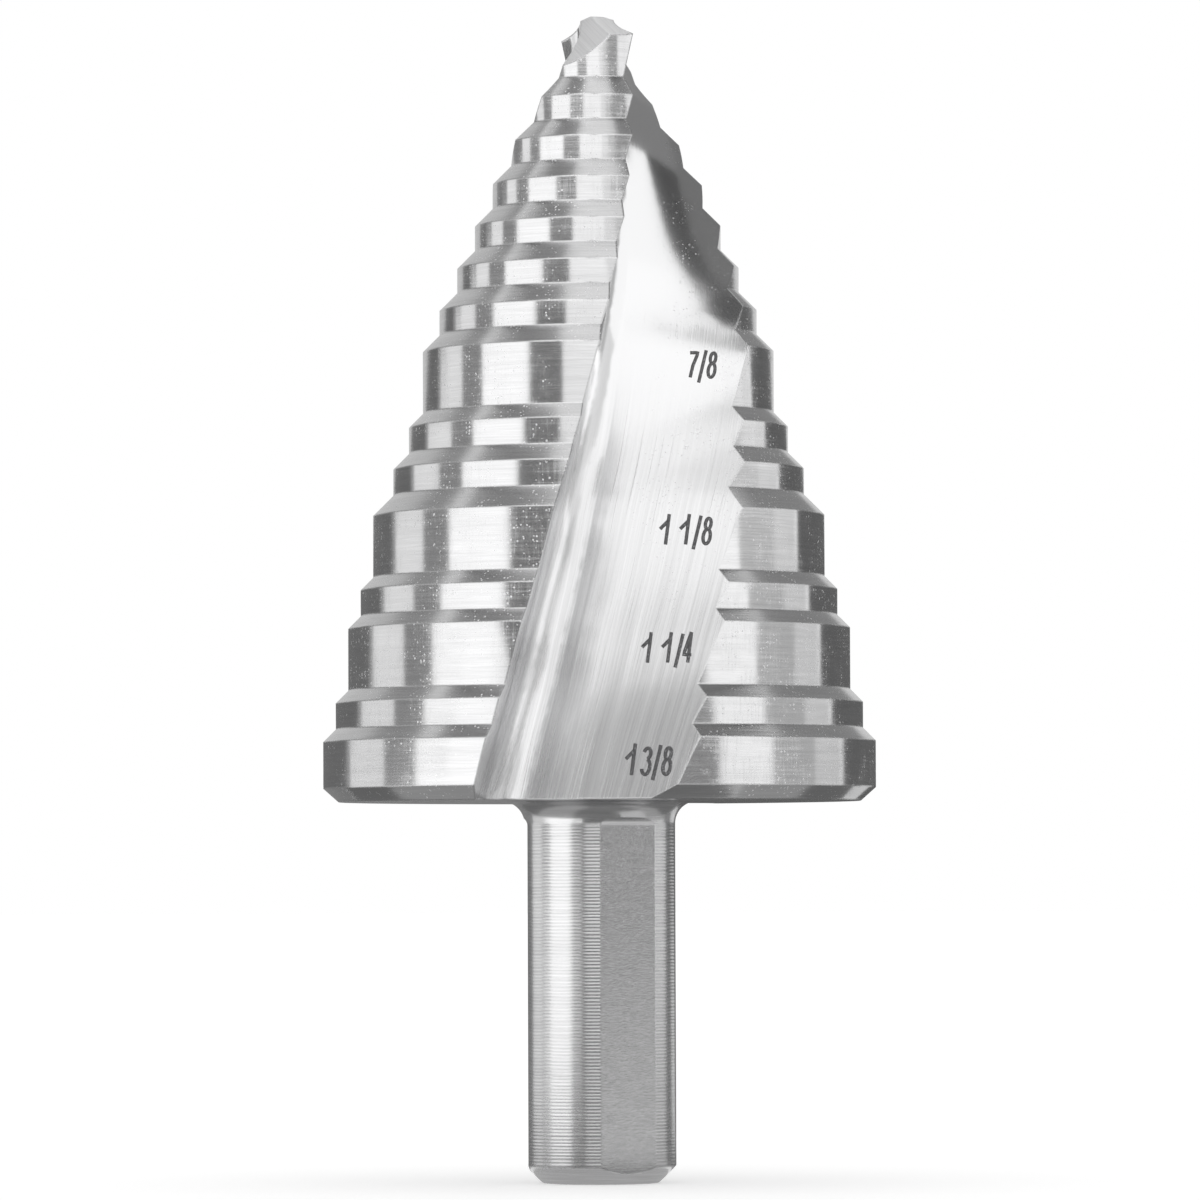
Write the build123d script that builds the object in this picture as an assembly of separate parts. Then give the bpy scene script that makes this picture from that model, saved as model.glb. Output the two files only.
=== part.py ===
from build123d import *
import os
from math import cos, degrees, exp, radians, sin, sqrt, tan

# The step drill stands on its shank end: +Z runs from the shank to the point.
# Angles round the axis are measured from the front (-Y) towards +X, in degrees.
# Lengths are in millimetres.

# Pilot and its point
pilot_diameter = 6.35
pilot_land = 2.8
point_angle = 135
lip_clearance = 12
gash_slope = 49.8
chisel_width = 0.75

# Steps, from the point to the base
first_step_diameter = 8.8
fine_rise = 2.26
fine_steps = 6
fine_land = 1.55
coarse_land = 1.65
marked_land = 3.9
last_land = 2.95
first_marked_diameter = 22.225
lower_between_diameter = 24.0
upper_between_diameter = 26.0
second_marked_diameter = 28.575
second_between_diameter = 30.1625
third_marked_diameter = 31.75
third_between_diameter = 33.3375
fourth_marked_diameter = 34.925
shoulder_angle = 45

# Base rim and shank
rim_chamfer_radial = 0.95
rim_chamfer_axial = 0.85
shank_diameter = 9.525
shank_length = 24.05
shank_root_radius = 1.4
shank_end_chamfer = 1.1
shank_end_crown = 0.02
flat_count = 3
flat_depth = 0.39
flat_length = 23.0
flat_root_radius = 0.5
first_flat_angle = 23.3

# Flutes
flute_count = 2
flute_angle_at_base = -26.3
helix_angle = 13.5
hook_angle = 12.1
flute_depth = 6.0
floor_slope_at_base = 0.18
web_width = 2.0
face_tilt_at_base = -4.0
face_tilt_at_point = 38.9
face_tilt_length = 2.95
flute_corner_radius = 2.0
flute_overrun = 3.0
flute_reach_ratio = 2.0

# Spacing of the flute's sections, and how near two points are the same
widest_section_gap = 2.6
widest_section_turn = 4.0
slice_height = 0.25
same_place = 0.01

steps = [(pilot_diameter, pilot_land)]
steps += [(first_step_diameter + k * fine_rise, fine_land) for k in range(fine_steps)]
steps += [
    (first_marked_diameter, marked_land),
    (lower_between_diameter, coarse_land),
    (upper_between_diameter, coarse_land),
    (second_marked_diameter, marked_land),
    (second_between_diameter, coarse_land),
    (third_marked_diameter, marked_land),
    (third_between_diameter, coarse_land),
    (fourth_marked_diameter, last_land),
]


def outline_corners():
    """Radius and height of each corner from the base rim up to the pilot."""
    radius = steps[-1][0] / 2
    height = shank_length
    corners = [(radius - rim_chamfer_radial, height)]
    height += rim_chamfer_axial
    for diameter, land in reversed(steps):
        height += abs(radius - diameter / 2) / tan(radians(shoulder_angle))
        radius = diameter / 2
        corners.append((radius, height))
        height += land
        corners.append((radius, height))
    return corners


corners = outline_corners()
land_tops = corners[2::2]
pilot_radius, pilot_height = corners[-1]
apex_height = pilot_height + pilot_radius / tan(radians(point_angle / 2))
shank_radius = shank_diameter / 2


def corners_at(section, places):
    """The section's corners that lie at the given places."""
    spots = [Vector(*place) for place in places]
    found = []
    for corner in section.vertices():
        here = Vector(corner.X, corner.Y)
        if min((spot - here).length for spot in spots) < same_place:
            found.append(corner)
    return found


def turned_blank():
    """The bar as it leaves the lathe: shank, rim, steps and a pilot with no point.

    The chamfer on the shank's end is very slightly crowned.
    """
    shank_top = (shank_radius, shank_length)
    end_edge = Vector(shank_radius - shank_end_chamfer, 0)
    side_edge = Vector(shank_radius, shank_end_chamfer)
    crown = (end_edge + side_edge) / 2 + Vector(1, -1).normalized() * shank_end_crown
    pilot_top = [(pilot_radius, apex_height), (0, apex_height)]
    profile = Line((0, 0), end_edge)
    profile += ThreePointArc(end_edge, crown, side_edge)
    profile += Polyline(side_edge, shank_top, *corners[:-1], *pilot_top, (0, 0))
    section = make_face(profile)
    section = fillet(corners_at(section, [shank_top]), shank_root_radius)
    return revolve(Plane.XZ * section, Axis.Z)


def envelope_radius(height):
    """Radius at a height of the line through the tops of the lands, less steep at the base."""
    last_radius, last_height = land_tops[0]
    if height < last_height:
        return last_radius + floor_slope_at_base * (last_height - height)
    for (wide, low), (narrow, high) in zip(land_tops, land_tops[1:]):
        if height <= high:
            return wide + (narrow - wide) * (height - low) / (high - low)
    return pilot_radius


def flute_angle(height):
    """Angle of the cutting edge at a height: the helix angle is the same all the way up."""
    slices = max(1, round(abs(height - shank_length) / slice_height))
    rise = (height - shank_length) / slices
    middles = [shank_length + (k + 0.5) * rise for k in range(slices)]
    turn = sum(tan(radians(helix_angle)) * rise / envelope_radius(middle) for middle in middles)
    return flute_angle_at_base + degrees(turn)


def around(angle):
    """Plane at the origin whose x axis points outwards at an angle from the front."""
    outwards = (sin(radians(angle)), -cos(radians(angle)), 0)
    return Plane(origin=(0, 0, 0), x_dir=outwards, z_dir=(0, 0, 1))


def flute_section(height):
    """Section of one flute: a rake wall, a round corner and a wide back face.

    In the section's plane, x runs out through the cutting edge and y towards the flute.
    """
    outer = envelope_radius(height)
    above_floor = outer - flute_depth
    core = (above_floor + sqrt(above_floor**2 + 4 * web_width**2)) / 2
    fade = exp(-(outer - pilot_radius) / face_tilt_length)
    tilt = face_tilt_at_base + (face_tilt_at_point - face_tilt_at_base) * fade
    wall = Vector(1, 0).rotate(Axis.Z, hook_angle)
    face = Vector(0, 1).rotate(Axis.Z, tilt)
    wall_height = (outer * cos(radians(tilt)) - core) / cos(radians(tilt - hook_angle))
    root = Vector(outer, 0) - wall * wall_height
    half_opening = radians(90 + tilt - hook_angle) / 2
    setback = flute_corner_radius / tan(half_opening)
    sagitta = flute_corner_radius / sin(half_opening) - flute_corner_radius
    corner_middle = root + (wall + face).normalized() * sagitta
    reach = flute_reach_ratio * outer
    ends = [root + wall * reach, root + (wall + face) * reach, root + face * reach]
    outline = [
        Line(ends[0], root + wall * setback),
        ThreePointArc(root + wall * setback, corner_middle, root + face * setback),
        Line(root + face * setback, ends[2]),
        Line(ends[2], ends[1]),
        Line(ends[1], ends[0]),
    ]
    place = around(flute_angle(height)).offset(height)
    return place * make_face(outline)


def flute_heights():
    """Heights of the flute's sections, nearer to each other as the drill narrows."""
    height = shank_length - flute_overrun
    heights = [height]
    while height < apex_height:
        rise_per_turn = envelope_radius(height) / tan(radians(helix_angle))
        height += min(widest_section_gap, radians(widest_section_turn) * rise_per_turn)
        heights.append(height)
    return heights


def flutes():
    """The helical flutes, each at the same angle from the next round the axis."""
    flute = loft([flute_section(height) for height in flute_heights()])
    return [flute.rotate(Axis.Z, k * 360 / flute_count) for k in range(flute_count)]


def grind_point(drill):
    """Grind each lip's flank and the gash behind it, which leave a short chisel edge."""
    apex = Vector(0, 0, apex_height)
    lip_slope = radians(90 - point_angle / 2)
    clearance = radians(lip_clearance)
    gash_fall = radians(gash_slope)
    for k in range(flute_count):
        lip = around(flute_angle(pilot_height) + k * 360 / flute_count)
        along_lip = lip.x_dir * cos(lip_slope) - lip.z_dir * sin(lip_slope)
        behind_lip = -lip.y_dir * cos(clearance) - lip.z_dir * sin(clearance)
        flank = Plane(origin=apex, x_dir=along_lip, z_dir=behind_lip.cross(along_lip))
        down_gash = -lip.y_dir * cos(gash_fall) - lip.z_dir * sin(gash_fall)
        gash_start = apex - lip.y_dir * chisel_width / 2
        gash = Plane(origin=gash_start, x_dir=lip.x_dir, z_dir=down_gash.cross(lip.x_dir))
        drill = split(drill, bisect_by=flank, keep=Keep.BOTTOM)
        drill = split(drill, bisect_by=gash, keep=Keep.BOTTOM)
    return drill


def shank_flats():
    """Cutters for the flats that keep the shank from turning in a chuck."""
    seat = shank_radius - flat_depth
    stand_off = shank_diameter
    inner_end = (seat, flat_length)
    corner_below = (seat, -stand_off)
    outer_side = [(stand_off, -stand_off), (stand_off, flat_length)]
    section = make_face(Polyline(inner_end, corner_below, *outer_side, close=True))
    section = fillet(corners_at(section, [inner_end]), flat_root_radius)
    cutter = extrude(Plane.XZ * section, shank_radius, both=True)
    start = first_flat_angle - 90
    return [cutter.rotate(Axis.Z, start + k * 360 / flat_count) for k in range(flat_count)]


def step_drill():
    """The whole drill, turned, fluted, pointed and flatted from one bar."""
    drill = turned_blank()
    for flute in flutes():
        drill -= flute
    drill = grind_point(drill)
    for flat in shank_flats():
        drill -= flat
    return drill


os.makedirs("parts", exist_ok=True)
export_step(step_drill(), "parts/step_drill.step")
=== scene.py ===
import math

import bpy
from mathutils import Matrix, Vector
from mathutils.bvhtree import BVHTree


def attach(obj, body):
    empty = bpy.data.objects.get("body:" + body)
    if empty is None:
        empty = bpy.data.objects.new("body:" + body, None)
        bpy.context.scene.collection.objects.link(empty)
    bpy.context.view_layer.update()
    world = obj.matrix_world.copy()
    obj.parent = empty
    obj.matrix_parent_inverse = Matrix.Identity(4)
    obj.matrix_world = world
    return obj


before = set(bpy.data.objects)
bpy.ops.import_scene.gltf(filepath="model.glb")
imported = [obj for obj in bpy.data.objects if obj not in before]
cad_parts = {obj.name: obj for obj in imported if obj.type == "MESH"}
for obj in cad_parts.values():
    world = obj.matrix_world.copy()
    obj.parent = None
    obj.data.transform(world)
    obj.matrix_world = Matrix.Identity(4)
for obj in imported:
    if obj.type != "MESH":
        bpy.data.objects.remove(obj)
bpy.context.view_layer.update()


# Sizes of the drill that the finish follows, in millimetres and degrees

FLUTE_ANGLE_AT_BASE = -26.3
HELIX_ANGLE = 13.5
FLUTE_DEPTH = 6.0
WEB_WIDTH = 2.0
BASE_HEIGHT = 24.05
RIM_CHAMFER_HEIGHT = 0.85
PILOT_DIAMETER = 6.35
FIRST_STEP_DIAMETER = 8.8
FINE_RISE = 2.26
FINE_STEPS = 6
FINE_LAND = 1.55
POINT_FACES_FROM = 69.75
FIRST_FLAT_ANGLE = 23.3
FLAT_TOP = 23.2
RINGS_FROM = 22.4
RINGS_TO = 1.15
RING_PITCH = 0.21
HIGH_FLUTE_FROM, HIGH_FLUTE_FULL = 34.0, 52.0
LOW_FLUTE_FROM, LOW_FLUTE_FULL = 58.0, 40.0
HEEL_FROM, HEEL_FULL = 3.0, 6.0

# Share of the cone's radius past which it is turned, and the waver of the rings in radians
TURNED_SHARE = 0.78
RING_WAVER = 5.0

# Diameter of each step and length of its land, from the point to the base
STEPS = [(PILOT_DIAMETER, 2.8)]
STEPS += [(FIRST_STEP_DIAMETER + k * FINE_RISE, FINE_LAND) for k in range(FINE_STEPS)]
STEPS += [(22.225, 3.9), (24.0, 1.65), (26.0, 1.65), (28.575, 3.9)]
STEPS += [(30.1625, 1.65), (31.75, 3.9), (33.3375, 1.65), (34.925, 2.95)]


def tops_of_lands():
    """Radius and height of the top of each land, from the base up, with shoulders at 45 degrees."""
    radius = STEPS[-1][0] / 2
    height = BASE_HEIGHT + RIM_CHAMFER_HEIGHT
    tops = []
    for diameter, land in reversed(STEPS):
        height += radius - diameter / 2 + land
        radius = diameter / 2
        tops.append((radius, height))
    return tops


LAND_TOPS = tops_of_lands()


def envelope_radius(height):
    """Radius of the cone through the tops of the lands at a height."""
    for (wide, low), (narrow, high) in zip(LAND_TOPS, LAND_TOPS[1:]):
        if height <= high:
            return wide + (narrow - wide) * (height - low) / (high - low)
    return PILOT_DIAMETER / 2


def cutting_edge_angle(height):
    """Angle of the front flute's cutting edge at a height, from the front towards the right."""
    parts = 200
    rise = (height - BASE_HEIGHT) / parts
    turn = sum(
        math.tan(math.radians(HELIX_ANGLE)) * rise / envelope_radius(BASE_HEIGHT + (k + 0.5) * rise)
        for k in range(parts)
    )
    return math.radians(FLUTE_ANGLE_AT_BASE) + turn


# How matt each finish is, and what hatching, specks and scratches add to it

LAND_ROUGHNESS = 0.125
SHOULDER_ROUGHNESS = 0.2
FLUTE_ROUGHNESS = 0.12
LOW_FLUTE_ROUGHNESS = 0.24
SHANK_ROUGHNESS = 0.22
FLAT_ROUGHNESS = 0.13
POINT_ROUGHNESS = 0.55
HATCH_ROUGHNESS = 0.05
SPECK_ROUGHNESS = 0.35
SCRATCH_ROUGHNESS = 0.15


# Bright steel: its colour and anisotropy, and its scratches' depth and edges' radius in metres

STEEL_COLOUR = (0.78, 0.78, 0.785, 1.0)
STEEL_ANISOTROPY = 0.3
SCRATCH_DEPTH = 0.0000016
BROKEN_EDGE = 0.00015


# Node trees

class Board:
    """A node tree with short ways to add nodes to it."""

    def __init__(self, tree):
        self.tree = tree

    def node(self, kind, *values, **settings):
        """A new node, with its first inputs fed in order and its settings set by name."""
        made = self.tree.nodes.new("ShaderNode" + kind)
        for name, value in settings.items():
            setattr(made, name, value)
        for socket, value in zip(made.inputs, values):
            self.feed(socket, value)
        return made

    def feed(self, socket, value):
        """Link an output to the socket, or set the socket to a plain value."""
        if isinstance(value, bpy.types.NodeSocket):
            self.tree.links.new(value, socket)
        elif value is not None:
            socket.default_value = value

    def math(self, operation, *values):
        return self.node("Math", *values, operation=operation).outputs[0]

    def vector(self, operation, *values):
        made = self.node("VectorMath", operation=operation)
        sockets = [s for s in made.inputs if s.enabled]
        for socket, value in zip(sockets, values):
            self.feed(socket, value)
        return made.outputs["Value" if operation in ("DOT_PRODUCT", "LENGTH") else "Vector"]

    def scaled(self, vector, factor):
        made = self.node("VectorMath", operation="SCALE")
        self.feed(made.inputs[0], vector)
        self.feed(made.inputs["Scale"], factor)
        return made.outputs[0]

    def ramp(self, value, low, high, to_low=0.0, to_high=1.0, soft=False):
        """The value moved from one range to another and held inside it."""
        made = self.node("MapRange", value, low, high, to_low, to_high)
        made.interpolation_type = "SMOOTHSTEP" if soft else "LINEAR"
        return made.outputs[0]

    def joined(self, x, y, z):
        return self.node("CombineXYZ", x, y, z).outputs[0]

    def noise(self, place, scale, detail=2.0, roughness=0.5):
        made = self.node("TexNoise", noise_dimensions="3D")
        self.feed(made.inputs["Vector"], place)
        self.feed(made.inputs["Scale"], scale)
        self.feed(made.inputs["Detail"], detail)
        self.feed(made.inputs["Roughness"], roughness)
        return made.outputs["Fac"]

    def between(self, mask, plain, other):
        """A number that is plain where the mask is 0 and other where it is 1."""
        made = self.node("Mix", data_type="FLOAT")
        self.feed(made.inputs[0], mask)
        self.feed(made.inputs[2], plain)
        self.feed(made.inputs[3], other)
        return made.outputs[0]

    def either(self, mask, plain, other):
        """A vector that is plain where the mask is 0 and other where it is 1."""
        made = self.node("Mix", data_type="VECTOR")
        self.feed(made.inputs[0], mask)
        self.feed(made.inputs[4], plain)
        self.feed(made.inputs[5], other)
        return made.outputs[1]


def empty_group(name, inputs, outputs):
    """A new node group with the sockets that it takes and gives."""
    tree = bpy.data.node_groups.new(name, "ShaderNodeTree")
    for label, kind, value in inputs:
        socket = tree.interface.new_socket(label, in_out="INPUT", socket_type="NodeSocket" + kind)
        if value is not None:
            socket.default_value = value
    for label, kind in outputs:
        tree.interface.new_socket(label, in_out="OUTPUT", socket_type="NodeSocket" + kind)
    return Board(tree), tree.nodes.new("NodeGroupInput"), tree.nodes.new("NodeGroupOutput")


def blank_material(name):
    """A new material with an empty node tree."""
    material = bpy.data.materials.new(name)
    material.use_nodes = True
    board = Board(material.node_tree)
    board.tree.nodes.clear()
    return material, board


def put_out(board, kind, result):
    """Feed the output node of a material, whose kind is Material, or of the world."""
    out = board.node("Output" + kind)
    board.feed(out.inputs["Surface"], result)


def tool_marks_group():
    """Long parallel scratches of a lathe tool or a grinding wheel, across the Place's x."""
    board, given, out = empty_group(
        "tool_marks",
        [("Place", "Vector", None), ("Fine", "Float", 8.0), ("Coarse", "Float", 2.0)],
        [("Lines", "Float"), ("Streaks", "Float"), ("Scratches", "Float")],
    )
    place = given.outputs["Place"]
    fine = board.noise(place, given.outputs["Fine"], 2.0, 0.6)
    coarse = board.noise(place, given.outputs["Coarse"], 3.0, 0.65)
    elsewhere = board.vector("ADD", place, (31.0, 7.0, 3.0))
    single = board.noise(elsewhere, given.outputs["Fine"], 1.0, 0.5)
    board.feed(out.inputs["Lines"], board.ramp(fine, 0.25, 0.75))
    board.feed(out.inputs["Streaks"], board.ramp(coarse, 0.3, 0.7))
    board.feed(out.inputs["Scratches"], board.ramp(single, 0.66, 0.74))
    return board.tree


def pitting_group():
    """Small bright specks in patches, as swarf and handling leave them on turned steel."""
    board, given, out = empty_group(
        "pitting",
        [("Place", "Vector", None), ("Specks", "Float", 5.0), ("Patches", "Float", 0.4)],
        [("Mask", "Float"), ("Haze", "Float")],
    )
    cells = board.node("TexVoronoi", voronoi_dimensions="3D")
    board.feed(cells.inputs["Vector"], given.outputs["Place"])
    board.feed(cells.inputs["Scale"], given.outputs["Specks"])
    cell_number = board.node("SeparateXYZ", cells.outputs["Color"]).outputs[0]
    reach = board.math("MULTIPLY", board.ramp(cell_number, 0.35, 0.95), 0.34)
    specks = board.math("LESS_THAN", cells.outputs["Distance"], reach)
    patches = board.noise(given.outputs["Place"], given.outputs["Patches"], 3.0, 0.6)
    patchy = board.ramp(patches, 0.4, 0.58, soft=True)
    board.feed(out.inputs["Mask"], board.math("MULTIPLY", specks, patchy))
    board.feed(out.inputs["Haze"], patchy)
    return board.tree


def placed(board, group, **values):
    """A group's node in a material, with its inputs fed by name."""
    made = board.node("Group")
    made.node_tree = group
    for name, value in values.items():
        board.feed(made.inputs[name], value)
    return made.outputs


def unwound_edge(board, z):
    """Angle of the cutting edge at the height z, as a curve read from the flute's helix."""
    low, high = 20.0, 76.0
    parts = 24
    first, last = cutting_edge_angle(low), cutting_edge_angle(high)
    unwind = board.node("FloatCurve")
    curve = unwind.mapping.curves[0]
    points = []
    for k in range(parts + 1):
        angle = cutting_edge_angle(low + (high - low) * k / parts)
        points.append((k / parts, (angle - first) / (last - first)))
    for point, (along, turned) in zip(curve.points, (points[0], points[-1])):
        point.location = (along, turned)
    for along, turned in points[1:-1]:
        curve.points.new(along, turned)
    unwind.mapping.update()
    board.feed(unwind.inputs["Value"], board.ramp(z, low, high))
    return board.ramp(unwind.outputs[0], 0.0, 1.0, first, last)


def ground_steel(tool_marks, pitting):
    """Bright high-speed steel: turned lands, ground flutes and point, milled flats on the shank."""
    material, board = blank_material("ground_steel")

    # Where on the drill, in millimetres
    place = board.scaled(board.node("TexCoord").outputs["Object"], 1000.0)
    x, y, z = board.node("SeparateXYZ", place).outputs
    facet = board.node("NewGeometry").outputs["True Normal"]
    smooth = board.node("NewGeometry").outputs["Normal"]
    level_place = board.joined(x, y, 0.0)
    radius = board.vector("LENGTH", level_place)
    outwards = board.vector("NORMALIZE", level_place)
    around = board.vector("CROSS_PRODUCT", (0.0, 0.0, 1.0), outwards)
    (wide, low), (narrow, high) = LAND_TOPS[0], LAND_TOPS[-1]
    cone = board.node("MapRange", z, low, high, wide, narrow, clamp=False).outputs[0]

    # Place in the flute, unwound from its helix: across runs from the rake wall to the heel
    edge_angle = unwound_edge(board, z)
    sine, cosine = board.math("SINE", edge_angle), board.math("COSINE", edge_angle)
    edge_way = board.joined(sine, board.math("MULTIPLY", cosine, -1.0), 0.0)
    flute_way = board.joined(cosine, sine, 0.0)
    side = board.math("SIGN", board.vector("DOT_PRODUCT", place, edge_way))
    across = board.math("MULTIPLY", board.vector("DOT_PRODUCT", place, flute_way), side)
    outer = board.math("ABSOLUTE", board.vector("DOT_PRODUCT", place, edge_way))
    above_floor = board.math("SUBTRACT", cone, FLUTE_DEPTH)
    root = board.math("MULTIPLY_ADD", above_floor, above_floor, 4 * WEB_WIDTH**2)
    root = board.math("SQRT", root)
    floor = board.math("MULTIPLY", board.math("ADD", above_floor, root), 0.5)
    from_floor = board.math("SUBTRACT", outer, floor)
    wall_facing = board.math("MULTIPLY", board.vector("DOT_PRODUCT", smooth, flute_way), side)
    on_wall = board.ramp(wall_facing, 0.3, 0.85, soft=True)
    from_edge = board.between(on_wall, across, board.math("MULTIPLY", from_floor, -1.0))

    # Masks of the finishes
    sideways = board.math("ABSOLUTE", board.vector("DOT_PRODUCT", facet, around))
    facing_round = board.math("LESS_THAN", sideways, 0.1)
    far_out = board.math("GREATER_THAN", radius, board.math("MULTIPLY", cone, TURNED_SHARE))
    below_base = board.math("LESS_THAN", z, BASE_HEIGHT + 0.1)
    flat = None
    for k in range(3):
        angle = math.radians(FIRST_FLAT_ANGLE + 120 * k)
        seen = board.vector("DOT_PRODUCT", facet, (math.sin(angle), -math.cos(angle), 0.0))
        this_flat = board.math("GREATER_THAN", seen, 0.995)
        flat = this_flat if flat is None else board.math("MAXIMUM", flat, this_flat)
    flat = board.math("MULTIPLY", flat, board.math("LESS_THAN", z, FLAT_TOP))
    normal_z = board.node("SeparateXYZ", facet).outputs[2]
    point = board.math(
        "MULTIPLY",
        board.math("GREATER_THAN", z, POINT_FACES_FROM),
        board.math("GREATER_THAN", normal_z, 0.4),
    )
    turned = board.math("MAXIMUM", board.math("MULTIPLY", facing_round, far_out), below_base)
    flat_or_point = board.math("MAXIMUM", flat, point)
    turned = board.math("MULTIPLY", turned, board.math("SUBTRACT", 1.0, flat_or_point))
    flute = board.math("SUBTRACT", 1.0, board.math("MAXIMUM", turned, flat_or_point))
    on_cone = board.math("MULTIPLY", turned, board.math("SUBTRACT", 1.0, below_base))
    shank = board.math("MULTIPLY", turned, below_base)
    upright = board.math("LESS_THAN", board.math("ABSOLUTE", normal_z), 0.2)
    land = board.math("MULTIPLY", on_cone, upright)
    shoulder = board.math("MULTIPLY", on_cone, board.math("GREATER_THAN", normal_z, 0.2))
    # The rim chamfer under the base, whose colour is darkened as painted shade for the shadowed
    # floor that it reflects
    rim_painted_shade = board.math("MULTIPLY", turned, board.math("LESS_THAN", normal_z, -0.3))
    rim_painted_shade = board.math("MULTIPLY", rim_painted_shade, board.math("GREATER_THAN", z, BASE_HEIGHT - 0.05))

    # Scratches that follow each finish
    run = board.between(flat, 0.03, 0.4)
    ring_place = board.joined(z, board.math("MULTIPLY", x, run), board.math("MULTIPLY", y, run))
    which_flute = board.math("MULTIPLY", side, 5.0)
    wheel_place = board.joined(from_edge, board.math("MULTIPLY", z, 0.01), which_flute)
    gash_place = board.joined(
        board.math("ADD", board.math("MULTIPLY", x, 0.8), board.math("MULTIPLY", z, 0.6)),
        board.math("MULTIPLY", z, 0.03),
        0.0,
    )
    line_place = board.either(flute, ring_place, wheel_place)
    line_place = board.either(point, line_place, gash_place)
    fine = board.between(flute, 9.0, 10.0)
    coarse = board.between(flute, 2.5, 2.2)
    marks = placed(board, tool_marks, Place=line_place, Fine=fine, Coarse=coarse)
    pits = placed(board, pitting, Place=place)

    # The regular rings that the lathe leaves on the shank below its smooth neck
    ringed = board.math("MULTIPLY", shank, board.ramp(z, RINGS_FROM + 0.25, RINGS_FROM - 0.25))
    ringed = board.math("MULTIPLY", ringed, board.math("GREATER_THAN", z, RINGS_TO))
    waver_place = board.joined(board.math("MULTIPLY", x, 0.12), board.math("MULTIPLY", y, 0.12), z)
    waver = board.math("MULTIPLY", board.noise(waver_place, 0.8, 1.0, 0.5), RING_WAVER)
    ring_turn = board.math("MULTIPLY_ADD", z, 2 * math.pi / RING_PITCH, waver)
    rings = board.math("MULTIPLY_ADD", board.math("SINE", ring_turn), 0.5, 0.5)

    # Colour, with painted shade on the rim chamfer under the base
    high_up = board.math("MULTIPLY", flute, board.ramp(z, HIGH_FLUTE_FROM, HIGH_FLUTE_FULL))
    lines = board.ramp(marks["Lines"], 0.0, 1.0, board.between(flute, 0.91, 0.88), 1.04)
    streaks = board.ramp(marks["Streaks"], 0.0, 1.0, board.between(flute, 0.93, 0.82), 1.02)
    tone = board.between(high_up, board.math("MULTIPLY", lines, streaks), 1.0)
    tones = [
        (board.math("MULTIPLY", flute, on_wall), 1.2),
        # Painted shade: the rim chamfer is darkened for the shadowed floor under the base that it
        # reflects
        (rim_painted_shade, 0.85),
        (flat, 0.9),
        (point, 1.24),
        (shoulder, 0.93),
        (board.math("MULTIPLY", ringed, rings), 0.92),
    ]
    for mask, factor in tones:
        tone = board.math("MULTIPLY", tone, board.between(mask, 1.0, factor))
    tone = board.between(board.math("MULTIPLY", pits["Mask"], on_cone), tone, 1.25)
    steel = board.node("Mix", data_type="RGBA", blend_type="MULTIPLY")
    board.feed(steel.inputs[0], 1.0)
    board.feed(steel.inputs[6], STEEL_COLOUR)
    board.feed(steel.inputs[7], board.joined(tone, tone, tone))

    # Gloss
    low_down = board.ramp(z, LOW_FLUTE_FROM, LOW_FLUTE_FULL, soft=True)
    flute_gloss = board.between(low_down, FLUTE_ROUGHNESS, LOW_FLUTE_ROUGHNESS)
    gloss = board.between(flute, LAND_ROUGHNESS, flute_gloss)
    finishes = [
        (shoulder, SHOULDER_ROUGHNESS),
        (shank, SHANK_ROUGHNESS),
        (flat, FLAT_ROUGHNESS),
        (point, POINT_ROUGHNESS),
    ]
    for mask, roughness in finishes:
        gloss = board.between(mask, gloss, roughness)
    heel = board.math("MULTIPLY", high_up, board.ramp(across, HEEL_FROM, HEEL_FULL))
    pitted = board.math("MAXIMUM", on_cone, heel)
    specks = board.math("MULTIPLY", pits["Mask"], board.between(heel, pitted, 0.4))
    scratches = board.math("MULTIPLY", marks["Scratches"], board.math("MULTIPLY", flute, low_down))
    haze = board.math("MULTIPLY", pits["Haze"], land)
    upright_place = board.joined(x, y, board.math("MULTIPLY", z, 0.06))
    upright_lines = board.ramp(board.noise(upright_place, 10.0, 1.0, 0.5), 0.45, 0.65)
    hatch = board.math("ADD", upright_lines, board.ramp(marks["Lines"], 0.4, 0.8))
    hatched = board.math("MULTIPLY", haze, hatch)
    gloss = board.math("MULTIPLY_ADD", hatched, HATCH_ROUGHNESS, gloss)
    gloss = board.math("MULTIPLY_ADD", specks, SPECK_ROUGHNESS, gloss)
    gloss = board.math("MULTIPLY_ADD", scratches, SCRATCH_ROUGHNESS, gloss)

    # Height of the lines, scratches and rings, with every edge just broken
    height = marks["Lines"]
    for mask, factor in ((land, 0.45), (flat, 1.4), (high_up, 0.35)):
        height = board.math("MULTIPLY", height, board.between(mask, 1.0, factor))
    height = board.math("MULTIPLY_ADD", scratches, 1.5, height)
    height = board.math("MULTIPLY_ADD", board.math("MULTIPLY", rings, ringed), 2.0, height)
    broken_edge = board.node("Bevel", samples=4)
    broken_edge.inputs["Radius"].default_value = BROKEN_EDGE
    bump = board.node("Bump")
    bump.inputs["Strength"].default_value = 1.0
    bump.inputs["Distance"].default_value = SCRATCH_DEPTH
    board.feed(bump.inputs["Height"], height)
    board.feed(bump.inputs["Normal"], broken_edge.outputs[0])

    # The scratches spread the highlight across themselves
    climb = board.math("DIVIDE", radius, cone)
    climb = board.math("MULTIPLY", climb, math.tan(math.radians(HELIX_ANGLE)))
    along = board.vector("ADD", (0.0, 0.0, 1.0), board.scaled(around, climb))
    groove = board.either(flute, around, along)
    spread = board.vector("NORMALIZE", board.vector("CROSS_PRODUCT", groove, smooth))

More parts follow.
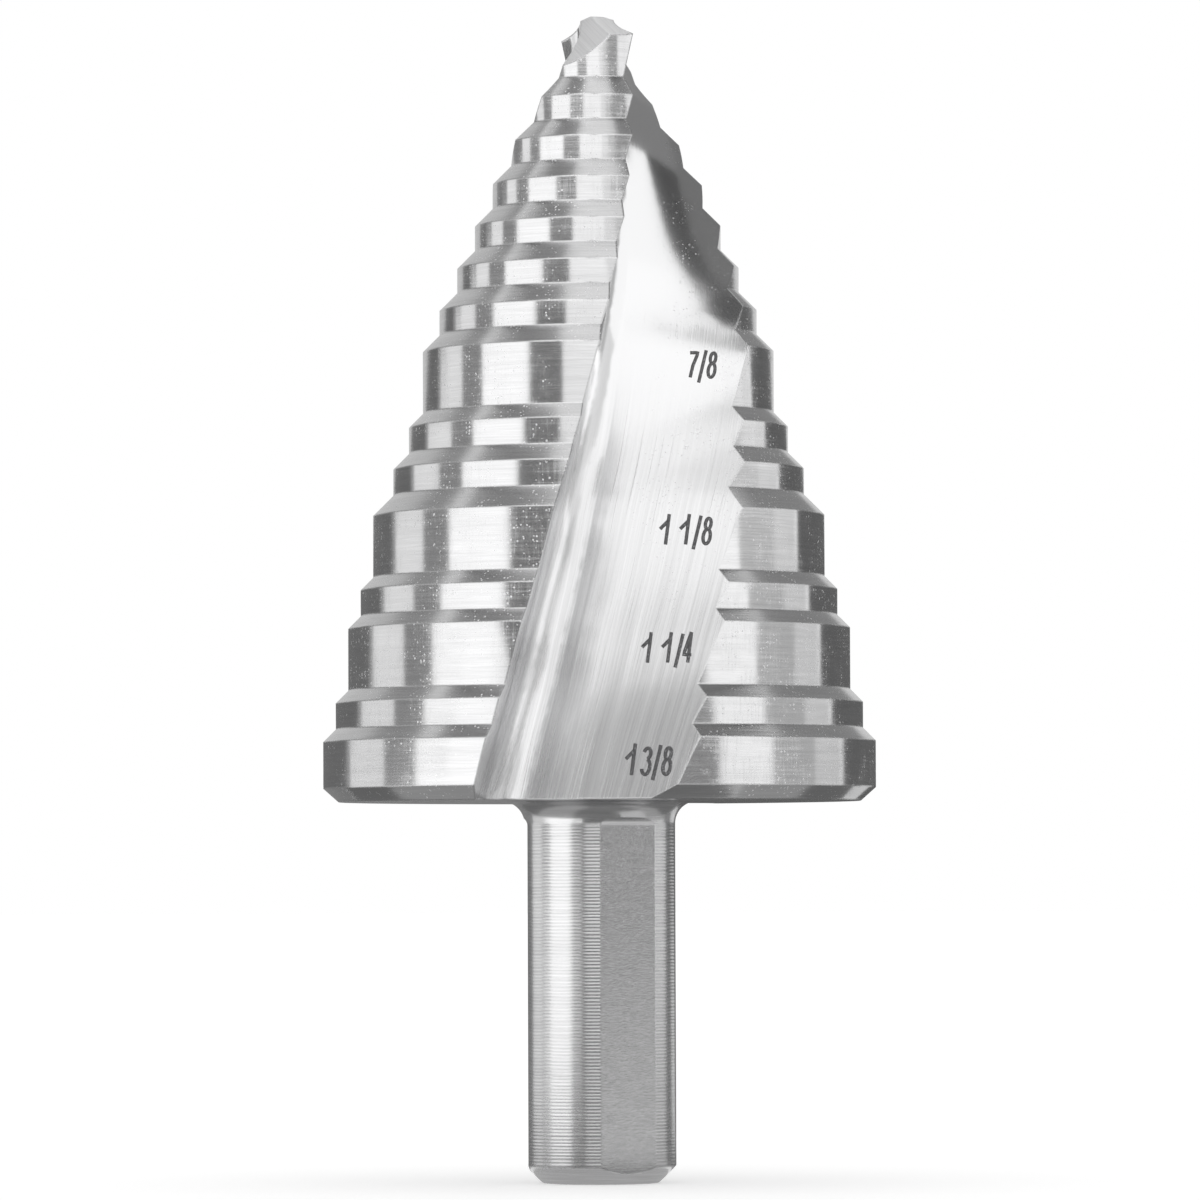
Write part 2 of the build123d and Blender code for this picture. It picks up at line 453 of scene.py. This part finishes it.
    shader = board.node("BsdfPrincipled")
    board.feed(shader.inputs["Base Color"], steel.outputs[2])
    shader.inputs["Metallic"].default_value = 1.0
    shader.inputs["Anisotropic"].default_value = STEEL_ANISOTROPY
    board.feed(shader.inputs["Roughness"], gloss)
    board.feed(shader.inputs["Normal"], bump.outputs[0])
    board.feed(shader.inputs["Tangent"], spread)
    put_out(board, "Material", shader.outputs[0])
    return material


# Size marks: the camera's place, from which they are read, in metres, and how far they stand
# proud of the steel, in millimetres. The other sizes are shares of a figure's height.

EYE = Vector((0, -0.475, 0.019))
MARK_DEPTH = 0.018
HALF_STROKE = 0.066
FIGURE_PITCH = 0.37
FIGURE_LEAN = 0.13
LONGEST_STROKE_STEP = 0.1


def arc(middle_height, half_width, half_height, start, stop):
    """Points along an upright oval over the figure's middle, between two angles in degrees."""
    parts = round(abs(stop - start) / 20)
    points = []
    for k in range(parts + 1):
        turn = math.radians(start + (stop - start) * k / parts)
        height = middle_height + half_height * math.sin(turn)
        points.append((half_width * math.cos(turn), height))
    return points


# The strokes of each figure, which is about 1 tall and stands over x = 0
FIGURES = {
    "1": [[(-0.27, 0.57), (0.0, 0.88)], [(0.0, 1.12), (0.0, 0.0)]],
    "3": [arc(0.76, 0.12, 0.19, 165, -80), arc(0.29, 0.14, 0.27, 80, -165)],
    "4": [[(0.0, 1.12), (-0.19, 0.29), (0.1, 0.29)], [(0.0, 1.12), (0.0, 0.0)]],
    "7": [[(-0.17, 0.97), (0.14, 0.97), (0.0, 0.47), (-0.05, 0.02)]],
    "8": [arc(0.76, 0.105, 0.2, 0, 360), arc(0.29, 0.13, 0.27, 0, 360)],
    "/": [[(-0.07, -0.18), (0.07, 1.06)]],
}

# Each mark's words and the share of a figure's height that a space in them takes, and then in
# millimetres how far right and how high the mark starts and how tall its figures are
MARKS = [
    ("7/8", 0.37, 5.9, 50.86, 1.65),
    ("1 1/8", 0.37, 4.22, 40.3, 1.72),
    ("1 1/4", 0.37, 3.05, 32.82, 1.72),
    ("1 3/8", 0.1, 2.01, 25.71, 1.79),
]


def laser_marked():
    """Dark oxide that a marking laser leaves on steel, uneven where its passes cross."""
    material, board = blank_material("laser_marking")
    place = board.scaled(board.node("TexCoord").outputs["Object"], 1000.0)
    passes = board.noise(place, 5.0, 3.0, 0.65)
    spots = board.ramp(board.noise(place, 9.0, 1.0, 0.5), 0.6, 0.7)
    burn = board.ramp(passes, 0.3, 0.7, 0.07, 0.15)
    burn = board.between(spots, burn, 0.34)
    shader = board.node("BsdfPrincipled")
    blue = board.math("MULTIPLY", burn, 1.03)
    board.feed(shader.inputs["Base Color"], board.joined(burn, burn, blue))
    shader.inputs["Metallic"].default_value = 0.0
    board.feed(shader.inputs["Roughness"], board.ramp(passes, 0.3, 0.7, 0.45, 0.65))
    bump = board.node("Bump")
    bump.inputs["Strength"].default_value = 0.5
    bump.inputs["Distance"].default_value = 0.000004
    board.feed(bump.inputs["Height"], passes)
    board.feed(shader.inputs["Normal"], bump.outputs[0])
    put_out(board, "Material", shader.outputs[0])
    return material


def stroke_points(stroke):
    """The stroke's points with more between them, so that it can follow the curved steel."""
    points = [stroke[0]]
    for start, stop in zip(stroke, stroke[1:]):
        parts = math.ceil(math.dist(start, stop) / LONGEST_STROKE_STEP)
        for k in range(1, parts + 1):
            share = k / parts
            x, y = (a + (b - a) * share for a, b in zip(start, stop))
            points.append((x, y))
    return points


def size_mark(drill, finish, number, words, space, right, foot, tall):
    """One size in plain leaning figures, laid on the back face of the front flute.

    The figures are drawn flat with a round pen, then each corner is carried back onto the steel,
    away from where the marking is read.
    """
    bpy.ops.object.select_all(action="DESELECT")
    bpy.ops.curve.primitive_bezier_curve_add(location=(0, 0, 0))
    mark = bpy.context.object
    mark.name = "size_mark_%d" % number
    pen = mark.data
    pen.splines.clear()
    pen.bevel_depth = HALF_STROKE
    pen.bevel_resolution = 1
    pen.use_fill_caps = True
    start = 0.0
    for figure in words:
        for stroke in FIGURES.get(figure, []):
            points = stroke_points(stroke)
            line = pen.splines.new("POLY")
            line.points.add(len(points) - 1)
            for point, (x, y) in zip(line.points, points):
                point.co = (start + x + FIGURE_LEAN * y, y, 0.0, 1.0)
        start += space if figure == " " else FIGURE_PITCH
    bpy.ops.object.convert(target="MESH")
    mark = bpy.context.object
    steel = BVHTree.FromObject(drill, bpy.context.evaluated_depsgraph_get())
    for vertex in mark.data.vertices:
        aim = Vector(((right + tall * vertex.co.x) / 1000, 0, (foot + tall * vertex.co.y) / 1000))
        spot, normal, face, reach = steel.ray_cast(EYE, (aim - EYE).normalized())
        vertex.co = spot + normal * MARK_DEPTH * vertex.co.z / HALF_STROKE / 1000
    bpy.ops.object.mode_set(mode="EDIT")
    bpy.ops.mesh.select_all(action="SELECT")
    bpy.ops.mesh.normals_make_consistent(inside=False)
    bpy.ops.object.mode_set(mode="OBJECT")
    mark.data.materials.append(finish)
    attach(mark, "root")


# Studio: the picture in pixels, the room's brightness, and the place of the panels in metres

PICTURE_WIDTH = 1200
PIXELS_PER_METRE = 15800
ROOM_LIGHT = 0.85
PANEL_DISTANCE = 0.9
PANEL_FOOT = 0.06
PANEL_LIFT = 0.0006

# Each card's or softbox's name, left, right, low, high and brightness, as studio_panel takes them
PANELS = [
    ("back_left_black", -175, -130, 0.8, (4.6, 9.5), 0.16),
    ("back_left_dark", -130, -126, 0.8, 8, 0.34),
    ("back_left_grey", -175, -145, (4.6, 7.9), 50, 0.6),
    ("left_rear_dark", -145, -130, (7.9, 9.5), 50, 0.3),
    ("left_rear_grey", -130, -118, 8, 50, 0.28),
    ("left_rear_softbox", -126, -100, 0.8, 8, 0.92),
    ("left_rear_pale", -165, -130, 50, 62, 0.8),
    ("left_card", -100, -81.5, 0.8, 12, 0.27),
    ("left_softbox", -81.5, -47, 0.8, 15, 1.28),
    ("left_grey", -120, -52, 15, 55, 0.48),
    ("front_left_black", -45, -23, 0.8, 11, 0.17),
    ("front_left_softbox", -52, -24, 11, 62, 1.26),
    ("front_pale", -23, 6, 0.8, 8, 0.95),
    ("front_softbox", -24, -12, 8, 62, 1.25),
    ("centre_softbox", -12, 2, 8, (46, 56.5), 1.25),
    ("centre_right_softbox", 2, 6, 8, (56.5, 66), 1.25),
    ("front_right_softbox", 6, 20, 11.2, (67, 66), 1.25),
    ("front_right_far_softbox", 20, 27, 11.2, (66, 61.5), 1.25),
    ("right_top_softbox", 27, 84, 36, (61, 42), 1.2),
    ("front_right_pale", 6, 14, 0.8, 11.2, 0.85),
    ("front_right_grey", 14, 22, 8, 11.2, 0.4),
    ("front_right_black", 22, 47, 8.2, 11.2, 0.03),
    ("front_right_low_pale", 14, 33.5, 0.8, 8, 1.05),
    ("right_low_grey", 33.5, 50, 0.8, 1.15, 0.5),
    ("right_low_black", 33.5, 50, 1.15, 4.0, 0.03),
    ("right_low_pale", 33.5, 48.5, 4.0, 8.2, 1.0),
    ("right_pale", 27, 66, 11.2, 36, 0.85),
    ("right_softbox", 51.5, 76, 0.8, 11, 1.2),
    ("right_grey", 66, 81, 14, 36, 0.5),
    ("right_low_softbox", 75, 110, 7, 14, 1.2),
    ("right_card", 76, 100, 0.8, 6, 0.46),
    ("right_pale_card", 100, 118, 0.8, 6, 0.68),
    ("right_dark", 84, 127, 14, (54, 44), 0.25),
    ("right_top_grey", 27, 127, (67, 44), 77, 0.2),
    ("right_edge_dark", 27, 84, (61.5, 42), (67, 54), 0.09),
    ("front_top_dark", -12, 2, (46, 56.5), 76, 0.08),
    ("centre_right_top_dark", 2, 6, (56.5, 66), 76, 0.08),
    ("front_right_top_dark", 6, 20, (67, 66), 76, 0.08),
    ("front_right_far_top_dark", 20, 27, (66, 61.5), 76, 0.08),
    ("back_right_black", 121, 138, 0.8, 9.5, 0.13),
    ("back_right_far_black", 138, 180, 0.8, (9.5, 4.2), 0.13),
    ("back_right_grey", 127, 138, 9.5, 50, 0.28),
    ("back_right_far_pale", 138, 180, (9.5, 4.2), 18, 0.7),
    ("back_right_far_grey", 138, 175, 18, 50, 0.28),
    ("back_top_grey", 100, 230, 62, 77, 0.35),
    ("left_top_dark", 230, 260, 55, 77, 0.2),
    ("top_grey", -180, 180, 77, 90, 1.0),
    ("low_back_left", -180, -124, -1, 0.8, 0.24),
    ("low_left_grey", -124, -94, -1, 0.8, 0.72),
    ("low_left_pale", -94, -84, -1, 0.8, 1.1),
    ("low_left_softbox", -84, -42, -1, 0.8, 1.4),
    ("low_front_left", -42, -28, -1, 0.8, 0.9),
    ("low_front", -28, 34, -1, 0.8, 0.16),
    ("low_flat", 34, 60, -1, 0.8, 0.61),
    ("low_right", 60, 116, -1, 0.8, 0.45),
    ("low_right_dark", 116, 137, -1, 0.8, 0.24),
    ("low_back_right", 137, 157, -1, 0.8, 0.7),
    ("low_back_right_dark", 157, 180, -1, 0.8, 0.12),
]

# Height of the level cards at the axis, in metres, and how much they rise for each metre out
SIDE_CARD_HEIGHT = 0.0245
SIDE_CARD_RISE = 0.0115

# Each level card's name, left and right in degrees, near, far and drop in metres, and brightness
SIDE_CARDS = [
    ("side_card_top", -120, -62, 0.118, 0.24, 0.0, 0.15),
    ("side_card_under", -120, -62, 0.118, 0.24, 0.0003, 1.24),
]

# Each mat's name, left and right in degrees, near, far and height in millimetres, and brightness
FLOOR_MATS = [
    ("foot_mat", -180, 180, 0.1, 5, 0.03, 0.44),
    ("left_mat", -110, -42, 5, 60, 0.4, 0.37),
    ("front_mat", -42, 30, 5, 60, 0.4, 0.2),
    ("flat_inner_mat", 30, 75, 5, 20, 0.4, 0.2),
    ("flat_mat", 30, 75, 20, 60, 0.4, 0.6),
    ("right_mat", 75, 110, 5, 60, 0.4, 0.37),
    ("back_mat", 110, 250, 5, 60, 0.4, 0.17),
    ("right_floor_card", 62, 114, 200, 340, 1.0, 1.25),
]


def white_to_the_eye(board):
    """1 for a ray from the camera or one that metal or glass sends on, and 0 for light."""
    rays = board.node("LightPath").outputs
    sent_on = board.math("MAXIMUM", rays["Is Glossy Ray"], rays["Is Transmission Ray"])
    return board.math("MAXIMUM", rays["Is Camera Ray"], sent_on)


def studio_walls():
    """A white room: it looks white, and lights the drill and the floor a little less."""
    world = bpy.data.worlds.new("white_room")
    bpy.context.scene.world = world
    world.use_nodes = True
    board = Board(world.node_tree)
    board.tree.nodes.clear()
    background = board.node("Background")
    background.inputs["Color"].default_value = (1.0, 1.0, 1.0, 1.0)
    strength = board.between(white_to_the_eye(board), ROOM_LIGHT, 1.0)
    board.feed(background.inputs["Strength"], strength)
    put_out(board, "World", background.outputs[0])


def studio_floor():
    """A pale floor that takes the drill's shadow."""
    bpy.ops.object.select_all(action="DESELECT")
    bpy.ops.mesh.primitive_circle_add(vertices=96, radius=4.0, fill_type="NGON", location=(0, 0, 0))
    floor = bpy.context.object
    floor.name = "studio_floor"
    material, board = blank_material("pale_floor")
    paint = board.node("BsdfDiffuse")
    paint.inputs["Color"].default_value = (0.82, 0.82, 0.82, 1.0)
    glow = board.node("Emission")
    board.feed(glow.inputs["Strength"], board.math("MULTIPLY", white_to_the_eye(board), 0.36))
    both = board.node("AddShader", paint.outputs[0], glow.outputs[0])
    put_out(board, "Material", both.outputs[0])
    floor.data.materials.append(material)


def add_panel(name, corners, faces, brightness):
    """An evenly bright sheet that only the drill's reflections see."""
    mesh = bpy.data.meshes.new(name)
    mesh.from_pydata(corners, [], faces)
    panel = bpy.data.objects.new(name, mesh)
    bpy.context.scene.collection.objects.link(panel)
    panel.visible_camera = False
    panel.visible_diffuse = False
    panel.visible_shadow = False
    material, board = blank_material(name)
    glow = board.node("Emission")
    glow.inputs["Color"].default_value = (1.0, 1.0, 1.0, 1.0)
    glow.inputs["Strength"].default_value = brightness
    put_out(board, "Material", glow.outputs[0])
    material.cycles.emission_sampling = "NONE"
    panel.data.materials.append(material)


def spot_at(way, reach, height):
    """The spot at an angle round the axis from the camera's side, so far out and so high up."""
    return (reach * math.sin(way), -reach * math.cos(way), height)


def studio_panel(name, left, right, low, high, brightness):
    """A curved card or softbox round the drill.

    The angles are in degrees: left and right from the camera's side round the axis, low and high
    above the floor, each one height or a height at each end. A panel whose low is under 0 runs in
    over the floor towards the drill.
    """
    columns = max(2, round(abs(right - left) / 4))
    lows = low if isinstance(low, tuple) else (low, low)
    highs = high if isinstance(high, tuple) else (high, high)
    rows = max(1, round((max(highs) - max(lows)) / 6))
    corners = []
    for k in range(columns + 1):
        share = k / columns
        way = math.radians(left + (right - left) * share)
        start = max(0.0, lows[0] + (lows[1] - lows[0]) * share)
        stop = highs[0] + (highs[1] - highs[0]) * share
        rings = [(PANEL_FOOT, PANEL_LIFT)] if lows[0] < 0 else []
        for i in range(rows + 1):
            up = math.radians(start + (stop - start) * i / rows)
            height = PANEL_LIFT + PANEL_DISTANCE * math.sin(up)
            rings.append((PANEL_DISTANCE * math.cos(up), height))
        corners += [spot_at(way, *ring) for ring in rings]
    step = len(rings)
    faces = [
        (k * step + i, (k + 1) * step + i, (k + 1) * step + i + 1, k * step + i + 1)
        for k in range(columns)
        for i in range(step - 1)
    ]
    add_panel(name, corners, faces, brightness)


def level_sector(name, left, right, columns, near, far, brightness):
    """A sector of a ring round the drill, between two edges given as reach and height in metres."""
    corners = []
    for k in range(columns + 1):
        way = math.radians(left + (right - left) * k / columns)
        corners += [spot_at(way, *near), spot_at(way, *far)]
    faces = [(2 * k, 2 * k + 2, 2 * k + 3, 2 * k + 1) for k in range(columns)]
    add_panel(name, corners, faces, brightness)


def floor_mat(name, left, right, near, far, height, brightness):
    """A mat on the floor, sized in millimetres."""
    columns = max(2, round(abs(right - left) / 6))
    edges = [(reach / 1000, height / 1000) for reach in (near, far)]
    level_sector(name, left, right, columns, *edges, brightness)


def side_card(name, left, right, near, far, drop, brightness):
    """A card held nearly level with the drill's base, sized in metres.

    The dark one lies on the white one. The cone reflects the dark side and the shank the white.
    """
    edges = [(reach, SIDE_CARD_HEIGHT + SIDE_CARD_RISE * reach - drop) for reach in (near, far)]
    level_sector(name, left, right, 12, *edges, brightness)


def photo_camera():
    """The camera stands low in front of the drill and looks slightly up at it."""
    aim = Vector((0, 0, 0.0368))
    roll = math.radians(0.2)
    gaze = aim - EYE
    distance = gaze.length
    gaze.normalize()
    right = gaze.cross(Vector((0, 0, 1))).normalized()
    up = right.cross(gaze)
    right, up = (
        right * math.cos(roll) - up * math.sin(roll),
        right * math.sin(roll) + up * math.cos(roll),
    )
    data = bpy.data.cameras.new("photo_camera")
    data.sensor_width = 36
    data.lens = data.sensor_width * PIXELS_PER_METRE * distance / PICTURE_WIDTH
    data.shift_x = 1 / PICTURE_WIDTH
    data.clip_start = 0.01
    data.clip_end = 20
    camera = bpy.data.objects.new("photo_camera", data)
    camera.matrix_world = Matrix((
        (right.x, up.x, -gaze.x, EYE.x),
        (right.y, up.y, -gaze.y, EYE.y),
        (right.z, up.z, -gaze.z, EYE.z),
        (0, 0, 0, 1),
    ))
    bpy.context.scene.collection.objects.link(camera)
    bpy.context.scene.camera = camera


photo_camera()
studio_walls()
studio_floor()
for panel in PANELS:
    studio_panel(*panel)
for mat in FLOOR_MATS:
    floor_mat(*mat)
for card in SIDE_CARDS:
    side_card(*card)

steel = ground_steel(tool_marks_group(), pitting_group())
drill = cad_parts["step_drill"]
for slot in drill.material_slots:
    slot.material = steel
marking = laser_marked()
for number, mark in enumerate(MARKS, start=1):
    size_mark(drill, marking, number, *mark)

bpy.context.scene.view_settings.view_transform = "Standard"
